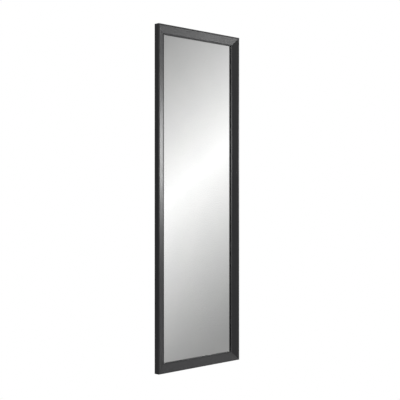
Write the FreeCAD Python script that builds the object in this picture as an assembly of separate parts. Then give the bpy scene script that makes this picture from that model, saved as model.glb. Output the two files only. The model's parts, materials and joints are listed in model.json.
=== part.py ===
import FreeCAD, Part
import math
import os

from FreeCAD import Placement, Rotation, Vector

# Pull-out mirror for the side wall of a wardrobe: a framed mirror on a telescopic slide, with a
# vertical pivot at its leading edge. Millimetres, +Z up, the mirror faces -Y, it pulls out towards -X.
# The origin is the centre of the wall plate's four holes, on the face that lies against the wall.

# Moulding of the mirror frame: widths run inwards from its outer edge, depths back from its rim
panel_width = 400.0
panel_height = 1200.0
frame_depth = 22.0
rim_width = 5.2
slope_width = 23.1
slope_drop = 10.4
lip_width = 4.7
lip_thickness = 3.5
rebate_width = 6.5
outer_edge_radius = 0.8
inner_edge_radius = 0.5

# Glass and its backing, packed from the lip towards the wall
glass_thickness = 3.0
glass_arris = 0.4
film_thickness = 0.3
tape_thickness = 1.0
tape_width = 18.0
tape_rows = 4
board_thickness = 3.0
glazing_gap = 1.0

# V-shaped nails that hold the mitres
nail_leg = 6.0
nail_sheet = 0.6
nail_depth = 9.0
nail_steps = (8.5, 17.5)

# Glazier's points: thin steel tabs pushed into the rebate wall, flat on the backing board
point_width = 7.0
point_sheet = 0.6
point_bite = 7.0
point_reach = 10.0
point_pitch = 180.0
point_end_inset = 60.0

# Wall plate
plate_sheet = 2.0
plate_height = 110.0
plate_lip = 7.0
plate_lead_inset = 50.0
plate_trail_inset = 2.0
plate_corner_radius = 6.0
wall_hole_radius = 2.75
wall_hole_end_inset = 20.0
wall_hole_edge_inset = 13.0

# Telescopic slide: widths run from the wall plate towards the mirror, heights from the centre line
slide_width = 12.7
slide_half_height = 22.85
slide_lead_inset = 42.0
slide_trail_inset = 8.0
member_sheet = 1.2
runner_sheet = 1.0
bend_radius = 1.2
ball_radius = 1.5
ball_sides = 8
ball_bands = 4
race_clearance = 0.05
race_depth = 0.6
outer_ball_reach = 9.7
inner_ball_reach = 6.3
race_land = 0.4
runner_land = 0.05
web_gap = 1.0
ball_pitch = 40.0
cage_sheet = 0.5
cage_start = 100.0
cage_length = 150.0
cage_edge = 1.5
cage_web_gap = 0.25
ball_hole_clearance = 0.1
outer_cage_rise = 0.3

# Lanced stops on the members
stop_half_width = 4.0
stop_inset = 10.8
stop_gap = 0.3
stop_window = 7.0
stop_face_gap = 0.25
front_stop_rise = 4.6
tongue_gap = 1.0

# Rear bumper
bumper_gap = 0.3
bumper_front_gap = 0.4
bumper_half_height = 13.0
bumper_edge_radius = 1.5
bumper_stud_width = 4.0

# Carriage bracket and pivot
bracket_sheet = 2.5
bracket_half_height = 52.0
bracket_head_length = 16.0
bracket_tongue_half = 14.0
bracket_tongue_length = 130.0
bracket_corner_radius = 9.0
bracket_screw_tail = 1.5
bracket_screw_end_inset = 12.0
swing_gap = 1.3
pivot_inset = 28.0
barrel_radius = 6.5
barrel_half_length = 45.0
barrel_gap = 0.5
bush_radius = 5.0
bush_length = 16.0
bush_flange = 1.5
pin_radius = 4.0
pin_clearance = 0.05
pin_head_radius = 6.0
pin_head_height = 3.0
pin_tail = 4.0
pin_groove_radius = 3.0
pin_clip_radius = 6.0
pin_clip_sheet = 0.7
end_float = 0.3

# Hinge plate on the back of the leading stile
hinge_sheet = 2.5
hinge_half_height = 160.0
hinge_edge_inset = 3.0
hinge_corner_radius = 5.0
ear_radius = 7.0
ear_nose_reach = 10.5
hinge_screw_length = 13.0
hinge_screw_inset = 11.0
hinge_screw_offsets = (95.0, 145.0)

# Countersunk screws of the bracket and the hinge plate
screw_radius = 2.0
screw_head_radius = 4.25

# Magnetic catch on the trailing end of the runner, and its strike plate on the free stile
catch_length = 20.0
catch_half_height = 15.0
catch_thickness = 4.5
catch_corner_radius = 2.0
catch_inset = 18.0
catch_lug_offset = 11.0
catch_lug_half = 1.5
catch_lug_tail = 1.0
magnet_length = 9.0
magnet_half_height = 7.0
magnet_depth = 3.0
magnet_recess = 0.2
pole_sheet = 1.5
pole_proud = 0.3
strike_gap = 0.3
strike_half_width = 7.0
strike_half_height = 22.0
strike_prong_half = 3.0
strike_prong_depth = 8.0

# Planes across the product, from the wall towards the mirror
plate_front = -plate_sheet
slide_front = plate_front - slide_width
bracket_front = slide_front - bracket_sheet
hinge_back = bracket_front - swing_gap
panel_back = hinge_back - hinge_sheet
pivot_y = hinge_back + barrel_radius + barrel_gap

# Places along the pull-out direction
plate_length = panel_width - plate_lead_inset - plate_trail_inset
plate_start = -plate_length / 2
plate_end = plate_length / 2
panel_left = plate_start - plate_lead_inset
panel_right = panel_left + panel_width
panel_centre = (panel_left + panel_right) / 2
pivot_x = panel_left + pivot_inset
slide_lead = panel_left + slide_lead_inset
slide_trail = panel_right - slide_trail_inset
slide_travel = slide_trail - slide_lead
catch_x = panel_right - catch_inset

# Heights at the pivot, up from its middle
ear_inside = barrel_half_length + bush_flange + end_float
ear_outside = ear_inside + hinge_sheet

# Frame section
face_width = rim_width + slope_width + lip_width
rebate_wall = face_width - rebate_width
rebate_depth = frame_depth - slope_drop - lip_thickness
slope_foot = slope_drop - frame_depth
half_width = panel_width / 2
half_height = panel_height / 2
glass_half_width = half_width - rebate_wall - glazing_gap
glass_half_height = half_height - rebate_wall - glazing_gap
glass_front = panel_back - rebate_depth
glass_back = glass_front + glass_thickness
film_back = glass_back + film_thickness
tape_back = film_back + tape_thickness
board_back = tape_back + board_thickness

# Slide section: where each sheet and ball lies
race_radius = ball_radius + race_clearance
race_flat = race_radius - race_depth
cabinet_flange = slide_half_height - race_depth - member_sheet / 2
outer_ball_height = cabinet_flange - member_sheet / 2 - race_flat
middle_flange = outer_ball_height - race_flat - member_sheet / 2
inner_ball_height = middle_flange - member_sheet / 2 - race_flat
runner_flange = inner_ball_height - race_flat - runner_sheet / 2
cabinet_web = member_sheet / 2
middle_web = member_sheet + web_gap + member_sheet / 2
runner_web = slide_width - runner_sheet / 2
outer_cage_web = member_sheet + cage_web_gap + cage_sheet / 2
inner_cage_web = middle_web + member_sheet / 2 + cage_web_gap + cage_sheet / 2

# Points closer together than this are one point
near = 0.01


def box(x_range, y_range, z_range):
    (x0, x1), (y0, y1), (z0, z1) = x_range, y_range, z_range
    return Part.makeBox(abs(x1 - x0), abs(y1 - y0), abs(z1 - z0),
                        Vector(min(x0, x1), min(y0, y1), min(z0, z1)))


def rod(radius, start, end):
    along = Vector(*end) - Vector(*start)
    return Part.makeCylinder(radius, along.Length, Vector(*start), along)


def turned(profile, start, direction):
    """A turned piece: (radius, distance) points round a line through start."""
    points = [Vector(radius, 0, distance) for radius, distance in profile]
    half = Part.Face(Part.makePolygon(points + points[:1]))
    piece = half.revolve(Vector(0, 0, 0), Vector(0, 0, 1), 360)
    piece.Placement = Placement(Vector(*start), Rotation(Vector(0, 0, 1), Vector(*direction)))
    return piece


def plate(outline, y_range):
    """A flat plate cut to an (x, z) outline."""
    y0, y1 = min(y_range), max(y_range)
    points = [Vector(x, y0, z) for x, z in outline]
    return Part.Face(Part.makePolygon(points + points[:1])).extrude(Vector(0, y1 - y0, 0))


def rectangle(x0, x1, z0, z1):
    return [(x0, z0), (x1, z0), (x1, z1), (x0, z1)]


def round_corners(shape, radius, direction, keep=lambda point: True):
    """Round the straight edges that run along a direction, where keep allows."""
    edges = []
    for edge in shape.Edges:
        ends = [vertex.Point for vertex in edge.Vertexes]
        if len(ends) < 2 or edge.Curve.TypeId != "Part::GeomLine":
            continue
        along = ends[1] - ends[0]
        if along.cross(direction).Length < near and keep(edge.CenterOfMass):
            edges.append(edge)
    return shape.makeFillet(radius, edges)


def countersunk(x, y, z, sheet, length, direction):
    """A screw driven along direction (+1 or -1 in Y), its flush head as deep as the sheet it holds."""
    profile = [(0, 0), (screw_head_radius, 0), (screw_radius, sheet), (screw_radius, length), (0, length)]
    return turned(profile, (x, y, z), (0, direction, 0))


def spaced(first, last, count):
    step = (last - first) / (count - 1)
    return [first + step * index for index in range(count)]


def fused(shapes):
    whole = shapes[0]
    for shape in shapes[1:]:
        whole = whole.fuse(shape)
    return whole.removeSplitter()


def cut_all(shape, tools):
    for tool in tools:
        shape = shape.cut(tool)
    return shape


def on_side(shape, name):
    """Move a shape from a frame side's own axes to its place. There X runs inwards from the outer
    edge, Y towards the wall from the frame's back, and Z along the side."""
    turn, edge = {
        "left": (0, Vector(panel_left, panel_back, 0)),
        "right": (180, Vector(panel_right, panel_back, 0)),
        "top": (90, Vector(panel_centre, panel_back, half_height)),
        "bottom": (-90, Vector(panel_centre, panel_back, -half_height)),
    }[name]
    placed = shape.copy()
    placed.rotate(Vector(0, 0, 0), Vector(0, 1, 0), turn)
    placed.translate(edge)
    return placed


def frame_member(half_length):
    """One length of the moulding, mitred at both ends."""
    section = [
        (0, 0),
        (0, -frame_depth),
        (rim_width, -frame_depth),
        (rim_width + slope_width, slope_foot),
        (face_width, slope_foot),
        (face_width, slope_foot + lip_thickness),
        (rebate_wall, slope_foot + lip_thickness),
        (rebate_wall, 0),
    ]
    points = [Vector(x, y, -half_length) for x, y in section]
    length = Vector(0, 0, 2 * half_length)
    moulding = Part.Face(Part.makePolygon(points + points[:1])).extrude(length)
    along = Vector(0, 0, 1)
    moulding = round_corners(moulding, outer_edge_radius, along,
                             lambda p: p.x < near and p.y < near - frame_depth)
    moulding = round_corners(moulding, inner_edge_radius, along,
                             lambda p: p.x > face_width - near and p.y < slope_foot + near)
    mitre = [(0, -half_length), (face_width, face_width - half_length),
             (face_width, half_length - face_width), (0, half_length)]
    return moulding.common(plate(mitre, (-frame_depth, 0)))


def corner_nails():
    """Two V-shaped nails across each mitre, driven from the back."""
    nails = []
    for toward_x, edge in ((1, panel_left), (-1, panel_right)):
        for toward_z in (1, -1):
            corner_z = -toward_z * half_height
            for step in nail_steps:
                x, z = edge + toward_x * step, corner_z + toward_z * step
                depth = (panel_back - nail_depth, panel_back)
                level = box((x - toward_x * nail_leg, x), depth, (z - toward_z * nail_sheet, z))
                upright = box((x - toward_x * nail_sheet, x), depth, (z - toward_z * nail_leg, z))
                nails.append(fused([level, upright]))
    return nails


def panel_sheet(front, back):
    return box((panel_centre - glass_half_width, panel_centre + glass_half_width), (front, back),
               (-glass_half_height, glass_half_height))


def mirror_glass():
    glass = panel_sheet(glass_front, glass_back)
    front_edges = [edge for edge in glass.Edges
                   if abs(edge.CenterOfMass.y - glass_front) < near]
    return glass.makeChamfer(glass_arris, front_edges)


def mirror_tape():
    """Strips of double-sided tape between the glass and the backing board."""
    edge = tape_width / 2 + face_width
    strips = []
    for x in spaced(panel_left + edge, panel_right - edge, tape_rows):
        strips.append(box((x - tape_width / 2, x + tape_width / 2), (film_back, tape_back),
                          (face_width - half_height, half_height - face_width)))
    return strips


def glazing_points():
    """Tabs along each side of the rebate, pointed where they bite into the wood."""
    level = board_back - panel_back
    tip, shoulder = rebate_wall - point_bite, rebate_wall - point_bite / 2
    end = rebate_wall + point_reach
    outline = [(tip, 0), (shoulder, -point_width / 2), (end, -point_width / 2),
               (end, point_width / 2), (shoulder, point_width / 2)]
    point = plate(outline, (level, level + point_sheet))
    points = []
    for side, length in (("left", panel_height), ("right", panel_height),
                         ("top", panel_width), ("bottom", panel_width)):
        reach = length / 2 - face_width - point_end_inset
        count = max(2, round(2 * reach / point_pitch) + 1)
        for along in spaced(-reach, reach, count):
            moved = point.copy()
            moved.translate(Vector(0, 0, along))
            points.append(on_side(moved, side))
    return points


def hinge_screws():
    x = panel_left + hinge_screw_inset
    heights = [sign * offset for offset in hinge_screw_offsets for sign in (1, -1)]
    return [countersunk(x, hinge_back, z, hinge_sheet, hinge_screw_length, -1) for z in heights]


def ear(sign):
    """A lug bent out of the hinge plate; its nose meets the bracket when the mirror is swung out."""
    z_range = sorted((sign * ear_inside, sign * ear_outside))
    nose_half = pivot_y - slide_front - stop_gap
    root = box((pivot_x - ear_radius, pivot_x + ear_radius), (hinge_back, pivot_y), z_range)
    eye = rod(ear_radius, (pivot_x, pivot_y, z_range[0]), (pivot_x, pivot_y, z_range[1]))
    nose = box((pivot_x - nose_half, pivot_x + nose_half), (pivot_y, pivot_y + ear_nose_reach),
               z_range)
    return fused([root, eye, nose])


def hinge_plate():
    """The plate on the stile, with two ears lanced and bent from its inner edge."""
    inner_edge = pivot_x + ear_radius
    blank = plate(rectangle(panel_left + hinge_edge_inset, inner_edge,
                            -hinge_half_height, hinge_half_height), (panel_back, hinge_back))
    blank = round_corners(blank, hinge_corner_radius, Vector(0, 1, 0))
    window_height = pivot_y - hinge_back + ear_nose_reach
    for sign in (1, -1):
        window = sorted((sign * ear_outside, sign * (ear_outside + window_height)))
        blank = blank.cut(box((pivot_x - ear_radius, inner_edge), (panel_back, hinge_back), window))
    leaf = fused([blank, ear(1), ear(-1)])
    bore = rod(pin_radius, (pivot_x, pivot_y, -ear_outside), (pivot_x, pivot_y, ear_outside))
    return cut_all(leaf, hinge_screws() + [bore])


def pivot_pin():
    """Headed pin from above, with a groove for its clip near the tail."""
    tail = -ear_outside - pin_tail
    groove_top = -ear_outside - end_float
    groove_end = groove_top - pin_clip_sheet
    crown = ear_outside + pin_head_height
    profile = [(0, crown), (pin_head_radius, crown), (pin_head_radius, ear_outside),
               (pin_radius, ear_outside), (pin_radius, groove_top), (pin_groove_radius, groove_top),
               (pin_groove_radius, groove_end), (pin_radius, groove_end), (pin_radius, tail), (0, tail)]
    return turned(profile, (pivot_x, pivot_y, 0), (0, 0, 1))


def pin_clip():
    """Open ring that snaps into the pin's groove."""
    top = -ear_outside - end_float
    foot = top - pin_clip_sheet
    ring = rod(pin_clip_radius, (pivot_x, pivot_y, foot), (pivot_x, pivot_y, top))
    hole = rod(pin_groove_radius, (pivot_x, pivot_y, foot), (pivot_x, pivot_y, top))
    mouth = box((pivot_x - pin_groove_radius, pivot_x + pin_groove_radius),
                (pivot_y, pivot_y + pin_clip_radius), (foot, top))
    return ring.cut(hole).cut(mouth)


def strike_sheet():
    """The strike fills what is left between the poles and the stile, less the gap."""
    poles = slide_front - catch_thickness - pole_proud
    return (poles - strike_gap) - panel_back


def strike_prongs():
    """Two prongs bent down from the strike's ends and pressed into the stile."""
    sheet = strike_sheet()
    prongs = []
    for sign in (1, -1):
        outer = sign * strike_half_height
        prongs.append(box((catch_x - strike_prong_half, catch_x + strike_prong_half),
                          (panel_back - strike_prong_depth, panel_back + sheet / 2),
                          (outer - sign * sheet, outer)))
    return prongs


def strike_plate():
    blank = plate(rectangle(catch_x - strike_half_width, catch_x + strike_half_width,
                            -strike_half_height, strike_half_height),
                  (panel_back, panel_back + strike_sheet()))
    return fused([blank] + strike_prongs())


def catch_lugs():
    """Snap lugs of the catch, through square holes in the runner."""
    return [box((catch_x - catch_lug_half, catch_x + catch_lug_half),
                (slide_front, slide_front + runner_sheet + catch_lug_tail),
                (sign * catch_lug_offset - catch_lug_half, sign * catch_lug_offset + catch_lug_half))
            for sign in (1, -1)]


def magnet_range():
    front = slide_front - catch_thickness
    return front + magnet_recess, front + magnet_recess + magnet_depth


def catch_magnet():
    return box((catch_x - magnet_length / 2, catch_x + magnet_length / 2), magnet_range(),
               (-magnet_half_height, magnet_half_height))


def catch_poles():
    front = slide_front - catch_thickness - pole_proud
    poles = []
    for side in (-1, 1):
        inner = catch_x + side * magnet_length / 2
        poles.append(box((inner, inner + side * pole_sheet), (front, magnet_range()[1]),
                         (-magnet_half_height, magnet_half_height)))
    return poles


def catch_body():
    front = slide_front - catch_thickness
    body = plate(rectangle(catch_x - catch_length / 2, catch_x + catch_length / 2,
                           -catch_half_height, catch_half_height), (front, slide_front))
    body = round_corners(body, catch_corner_radius, Vector(0, 1, 0))
    pocket_half = magnet_length / 2 + pole_sheet
    pocket = box((catch_x - pocket_half, catch_x + pocket_half),
                 (front, magnet_range()[1]), (-magnet_half_height, magnet_half_height))
    return fused([body] + catch_lugs()).cut(pocket)


def at(reach, height):
    """A point of the slide's cross-section: reach from the wall plate, height from its centre."""
    return Vector(0, plate_front - reach, height)


def channel(web, flange, sheet, races, tip, start, end):
    """A channel rolled from sheet. races are (reach, height) of ball centres that its flanges
    curve round, in order from the flange's tip to the web; tip is where the flange ends."""
    inward = 1 if web > tip else -1
    path = []
    here = (tip, flange)

    def line_to(target):
        path.append([here, target])
        return target

    for reach, height in races:
        radius = race_radius + sheet / 2
        side = 1 if flange > height else -1
        half_chord = math.sqrt(radius ** 2 - (flange - height) ** 2)
        entry = (reach - inward * half_chord, flange)
        exit_point = (reach + inward * half_chord, flange)
        line_to(entry)
        path.append([entry, (reach, height + side * radius), exit_point])
        here = exit_point
    bend_start = (web - inward * bend_radius, flange)
    corner = math.sqrt(0.5)
    bend_middle = (web - inward * bend_radius * (1 - corner), flange - bend_radius * (1 - corner))
    bend_end = (web, flange - bend_radius)
    path += [[here, bend_start], [bend_start, bend_middle, bend_end]]
    mirrored = [[(reach, -height) for reach, height in reversed(run)] for run in reversed(path)]
    path += [[bend_end, (web, bend_radius - flange)]] + mirrored
    edges = []
    for run in path:
        points = [at(*point) for point in run]
        curve = Part.Arc(*points) if len(points) == 3 else Part.LineSegment(*points)
        edges.append(curve.toShape())
    outline = Part.Wire(edges).makeOffset2D(sheet / 2, 2, False, False, False)
    section = Part.Face(outline)
    section.translate(Vector(start, 0, 0))
    return section.extrude(Vector(end - start, 0, 0))


def race_half_chord(sheet):
    radius = race_radius + sheet / 2
    return math.sqrt(radius ** 2 - (race_flat + sheet / 2) ** 2)


def from_trail(distance):
    """Place at a distance from the slide's trailing end, in the pull-out direction."""
    return slide_trail - distance


def stop_tab(first, root, tip, sheet):
    """A tab bent out of a web, from the web's middle at root to its tip."""
    return box((from_trail(first + sheet), from_trail(first)), (at(root, 0).y, at(tip, 0).y),
               (-stop_half_width, stop_half_width))


def stop_opening(first, web, sheet):
    """The window in the web that the tab was bent from, on its trailing side."""
    near = from_trail(first)
    low, high = at(web - sheet, 0).y, at(web + sheet, 0).y
    return box((near, near + stop_window), (low, high), (-stop_half_width, stop_half_width))


def full_stop():
    """Distance from the trailing end at which the fixed stop catches the moving one."""
    return slide_travel / 2 + stop_inset + member_sheet + stop_gap


def cabinet_member():
    tip = outer_ball_reach + race_half_chord(member_sheet) + race_land
    body = channel(cabinet_web, cabinet_flange, member_sheet,
                   [(outer_ball_reach, outer_ball_height)], tip, slide_lead, plate_end)
    tab_top = middle_web - member_sheet / 2 - stop_face_gap
    tab = stop_tab(full_stop(), cabinet_web, tab_top, member_sheet)
    body = fused([body, tab]).cut(stop_opening(full_stop(), cabinet_web, member_sheet))
    return body.cut(bumper_stud())


def middle_member():
    tip = outer_ball_reach + race_half_chord(member_sheet) + race_land
    body = channel(middle_web, middle_flange, member_sheet,
                   [(outer_ball_reach, outer_ball_height), (inner_ball_reach, inner_ball_height)],
                   tip, slide_lead, slide_trail)
    rear = stop_tab(stop_inset, middle_web, member_sheet + stop_face_gap, member_sheet)
    front_top = middle_web + member_sheet / 2 + front_stop_rise
    front = stop_tab(full_stop(), middle_web, front_top, member_sheet)
    body = fused([body, rear, front])
    return cut_all(body, [stop_opening(full_stop(), middle_web, member_sheet),
                          stop_opening(stop_inset, middle_web, member_sheet)])


def runner():
    tip = inner_ball_reach - race_half_chord(runner_sheet) - runner_land
    body = channel(runner_web, runner_flange, runner_sheet,
                   [(inner_ball_reach, inner_ball_height)], tip, slide_lead, slide_trail)
    tongue_end = middle_web + member_sheet / 2 + tongue_gap
    tongue = stop_tab(stop_inset, runner_web, tongue_end, member_sheet)
    body = fused([body, tongue]).cut(stop_opening(stop_inset, runner_web, runner_sheet))
    return cut_all(body, bracket_screws() + catch_lugs())


def ball_places():
    """Distances from the trailing end of the balls in one row of a cage."""
    count = int((cage_length - 2 * ball_radius) // ball_pitch) + 1
    middle = cage_start + cage_length / 2
    return [middle + ball_pitch * (index - (count - 1) / 2) for index in range(count)]


def ball_rows(reach, height):
    return [(from_trail(place), at(reach, sign * height))
            for place in ball_places() for sign in (1, -1)]


def ball(centre):
    """A ball as a many-sided solid, poles up and down, so that whole rows of them stay light."""
    poles = [centre + Vector(0, 0, ball_radius), centre - Vector(0, 0, ball_radius)]
    rings = []
    for band in range(1, ball_bands):
        tilt = math.pi * band / ball_bands
        level = ball_radius * math.cos(tilt)
        spread = ball_radius * math.sin(tilt)
        turns = [2 * math.pi * side / ball_sides for side in range(ball_sides)]
        rings.append([centre + Vector(spread * math.cos(turn), spread * math.sin(turn), level)
                      for turn in turns])
    outlines = []
    for side in range(ball_sides):
        after = (side + 1) % ball_sides
        outlines.append([poles[0], rings[0][side], rings[0][after]])
        outlines.append([poles[1], rings[-1][after], rings[-1][side]])
        for upper, lower in zip(rings, rings[1:]):
            outlines.append([upper[side], lower[side], lower[after], upper[after]])
    faces = [Part.Face(Part.makePolygon(outline + outline[:1])) for outline in outlines]
    return Part.makeSolid(Part.makeShell(faces))


def balls(reach, height):
    return [ball(Vector(x, point.y, point.z)) for x, point in ball_rows(reach, height)]


def ball_cage(web, height, rise, reach):
    """A thin channel with a window for each ball. Its web is cut away behind the last bridge,
    where the fixed stop passes."""
    lead, trail = from_trail(cage_start + cage_length), from_trail(cage_start)
    tip = reach + ball_radius + ball_hole_clearance - cage_sheet / 2 + cage_edge / 2
    cage = channel(web, height + rise, cage_sheet, [], tip, lead, trail)
    notch_height = height + rise - bend_radius - cage_sheet
    notch = box((from_trail(full_stop() + member_sheet + cage_edge), trail),
                (at(web - cage_sheet, 0).y, at(web + cage_sheet, 0).y),
                (-notch_height, notch_height))
    cage = cage.cut(notch)
    half = ball_radius + ball_hole_clearance
    windows = [box((x - half, x + half), (point.y - half, point.y + half),
                   (point.z - ball_radius, point.z + ball_radius))
               for x, point in ball_rows(reach, height)]
    return cut_all(cage, windows)


def bumper_stud():
    """Square stud moulded on the bumper, pressed into the cabinet member's web."""
    x = (slide_trail + bumper_gap + plate_end) / 2
    half = bumper_stud_width / 2
    return box((x - half, x + half), (at(0, 0).y, at(member_sheet, 0).y), (-half, half))


def rear_bumper():
    """Rubber block that the sliding members meet when the mirror is pushed home."""
    front = slide_width - bumper_front_gap
    block = box((slide_trail + bumper_gap, plate_end), (at(member_sheet, 0).y, at(front, 0).y),
                (-bumper_half_height, bumper_half_height))
    block = round_corners(block, bumper_edge_radius, Vector(1, 0, 0))
    return fused([block, bumper_stud()])


def wall_holes():
    x_places = (plate_start + wall_hole_end_inset, plate_end - wall_hole_end_inset)
    z_place = plate_height / 2 - wall_hole_edge_inset
    return [rod(wall_hole_radius, (x, 0, z), (x, plate_front, z))
            for x in x_places for z in (-z_place, z_place)]


def wall_plate():
    """Folded steel plate, its long edges turned towards the mirror as stiffening lips."""
    top = plate_height / 2
    web = box((plate_start, plate_end), (plate_front, 0), (-top, top))
    lips = [box((plate_start, plate_end), (plate_front - plate_lip, 0),
                (sign * (top - plate_sheet), sign * top)) for sign in (1, -1)]
    body = fused([web] + lips)
    body = round_corners(body, plate_sheet, Vector(1, 0, 0),
                         lambda p: abs(p.y) < near and abs(p.z) > top - near)
    body = round_corners(body, plate_corner_radius, Vector(0, 0, 1),
                         lambda p: p.y < plate_front - plate_lip + near)
    return cut_all(body, wall_holes())


def bracket_screws():
    length = bracket_sheet + runner_sheet + bracket_screw_tail
    lead = slide_lead + bracket_screw_end_inset
    trail = slide_lead + bracket_tongue_length - bracket_screw_end_inset
    return [countersunk(x, bracket_front, 0, bracket_sheet, length, 1) for x in (lead, trail)]


def carriage_bracket():
    """Flat bracket on the runner, its tall head welded to the pivot's barrel."""
    sheet = (bracket_front, slide_front)
    head_start = pivot_x + ear_radius + barrel_gap
    head_end = head_start + bracket_head_length
    head = plate(rectangle(head_start, head_end, -bracket_half_height, bracket_half_height), sheet)
    tongue = plate(rectangle(head_end, slide_lead + bracket_tongue_length,
                             -bracket_tongue_half, bracket_tongue_half), sheet)
    body = fused([head, tongue])
    body = round_corners(body, bracket_corner_radius, Vector(0, 1, 0),
                         lambda p: p.x > head_start + near)
    weld = plate(rectangle(pivot_x, head_start, bush_flange - barrel_half_length,
                           barrel_half_length - bush_flange), sheet)
    barrel = rod(barrel_radius, (pivot_x, pivot_y, -barrel_half_length),
                 (pivot_x, pivot_y, barrel_half_length))
    bore = rod(bush_radius, (pivot_x, pivot_y, -barrel_half_length),
               (pivot_x, pivot_y, barrel_half_length))
    body = fused([body, weld, barrel])
    return cut_all(body, [bore] + bracket_screws())


def pivot_bush(sign):
    """Flanged plastic bush, pressed into one end of the barrel."""
    bore = pin_radius + pin_clearance
    end = barrel_half_length
    profile = [(bore, end - bush_length), (bush_radius, end - bush_length), (bush_radius, end),
               (barrel_radius, end), (barrel_radius, end + bush_flange), (bore, end + bush_flange)]
    return turned(profile, (pivot_x, pivot_y, 0), (0, 0, sign))


def stile(side):
    """An upright frame member, with the seats of what is fastened to its back."""
    member = on_side(frame_member(half_height), side)
    fixings = corner_nails() + glazing_points()
    fixings += hinge_screws() if side == "left" else strike_prongs()
    return cut_all(member, fixings)


def rail(side):
    member = on_side(frame_member(half_width), side)
    return cut_all(member, corner_nails() + glazing_points())


pieces = {
    "wall_plate": [wall_plate()],
    "cabinet_member": [cabinet_member()],
    "rear_bumper": [rear_bumper()],
    "outer_cage": [ball_cage(outer_cage_web, outer_ball_height, outer_cage_rise, outer_ball_reach)],
    "outer_balls": balls(outer_ball_reach, outer_ball_height),
    "middle_member": [middle_member()],
    "inner_cage": [ball_cage(inner_cage_web, inner_ball_height, 0, inner_ball_reach)],
    "inner_balls": balls(inner_ball_reach, inner_ball_height),
    "runner": [runner()],
    "carriage_bracket": [carriage_bracket()],
    "bracket_screws": bracket_screws(),
    "pivot_bushes": [pivot_bush(1), pivot_bush(-1)],
    "catch_body": [catch_body()],
    "catch_magnet": [catch_magnet()],
    "catch_poles": catch_poles(),
    "pivot_pin": [pivot_pin()],
    "pin_clip": [pin_clip()],
    "hinge_plate": [hinge_plate()],
    "hinge_screws": hinge_screws(),
    "strike_plate": [strike_plate()],
    "stile_left": [stile("left")],
    "stile_right": [stile("right")],
    "rail_top": [rail("top")],
    "rail_bottom": [rail("bottom")],
    "corner_nails": corner_nails(),
    "mirror_glass": [mirror_glass()],
    "safety_film": [panel_sheet(glass_back, film_back)],
    "mirror_tape": mirror_tape(),
    "backing_board": [panel_sheet(tape_back, board_back)],
    "glazing_points": glazing_points(),
}

os.makedirs("parts", exist_ok=True)
for node, solids in pieces.items():
    shape = solids[0] if len(solids) == 1 else Part.makeCompound(solids)
    shape.exportStep(f"parts/{node}.step")
    print(f"{node}: {len(shape.Solids)} solids, {shape.Volume:.0f} mm3, valid {shape.isValid()}")
print(f"{len(pieces)} nodes, travel {slide_travel:.1f} mm, pivot at {pivot_x:.1f}, {pivot_y:.1f} mm")
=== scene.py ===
import json
import math

import bmesh
import bpy
from mathutils import Matrix, Vector


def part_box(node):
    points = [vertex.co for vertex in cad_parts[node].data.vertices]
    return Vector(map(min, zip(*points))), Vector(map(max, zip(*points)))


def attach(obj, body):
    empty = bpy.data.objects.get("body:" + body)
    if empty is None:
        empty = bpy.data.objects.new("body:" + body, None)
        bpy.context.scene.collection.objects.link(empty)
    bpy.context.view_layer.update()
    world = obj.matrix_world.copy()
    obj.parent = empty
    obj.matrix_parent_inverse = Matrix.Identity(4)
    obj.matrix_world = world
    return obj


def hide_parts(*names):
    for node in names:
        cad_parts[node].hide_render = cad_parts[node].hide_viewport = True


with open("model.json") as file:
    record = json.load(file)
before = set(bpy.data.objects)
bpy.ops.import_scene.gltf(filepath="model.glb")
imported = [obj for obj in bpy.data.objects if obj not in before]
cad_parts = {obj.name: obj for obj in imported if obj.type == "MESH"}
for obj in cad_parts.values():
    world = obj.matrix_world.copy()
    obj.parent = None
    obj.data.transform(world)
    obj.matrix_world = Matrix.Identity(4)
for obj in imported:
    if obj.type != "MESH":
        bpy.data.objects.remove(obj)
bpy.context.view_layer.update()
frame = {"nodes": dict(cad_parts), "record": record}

mm = 0.001
behaviour = frame["record"]["behaviour"]
bodyOf = {node: body for body, nodes in behaviour["bodies"].items() for node in nodes}
slotOf = {row["node"]: row["material_slot"] for row in frame["record"]["subparts"]}


def linearColour(hexColour):
    # the hex values are sRGB, shader sockets take linear ones
    shares = [int(hexColour[place:place + 2], 16) / 255 for place in (1, 3, 5)]
    return [share / 12.92 if share <= 0.04045 else ((share + 0.055) / 1.055) ** 2.4
            for share in shares] + [1.0]


def addNode(tree, kind, links=None, **settings):
    # one node: settings are its own properties, links are values or sockets for its inputs
    node = tree.nodes.new(kind)
    for name, value in settings.items():
        setattr(node, name, value)
    for key, value in (links or {}).items():
        if isinstance(value, bpy.types.NodeSocket):
            tree.links.new(value, node.inputs[key])
        else:
            node.inputs[key].default_value = value
    return node


def newMaterial(name, surface):
    # surface holds the values that stand on the shader's own sockets
    material = bpy.data.materials.new(name)
    material.use_nodes = True
    tree = material.node_tree
    shader = next(node for node in tree.nodes if node.type == "BSDF_PRINCIPLED")
    for socket, value in surface.items():
        shader.inputs[socket].default_value = value
    return material, tree, shader


def speckle(tree, size, detail=3.0, distortion=0.0):
    # noise in Object coordinates, its features size = (x, y, z) millimetres large
    place = addNode(tree, "ShaderNodeTexCoord")
    scaled = addNode(tree, "ShaderNodeMapping", {"Vector": place.outputs["Object"],
                                                 "Scale": [1 / (side * mm) for side in size]})
    return addNode(tree, "ShaderNodeTexNoise", {
        "Vector": scaled.outputs["Vector"], "Scale": 1.0, "Detail": detail,
        "Distortion": distortion}).outputs["Fac"]


patternReach = {"From Min": 0.3, "From Max": 0.7}  # where nearly all of a noise's values lie


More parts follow.
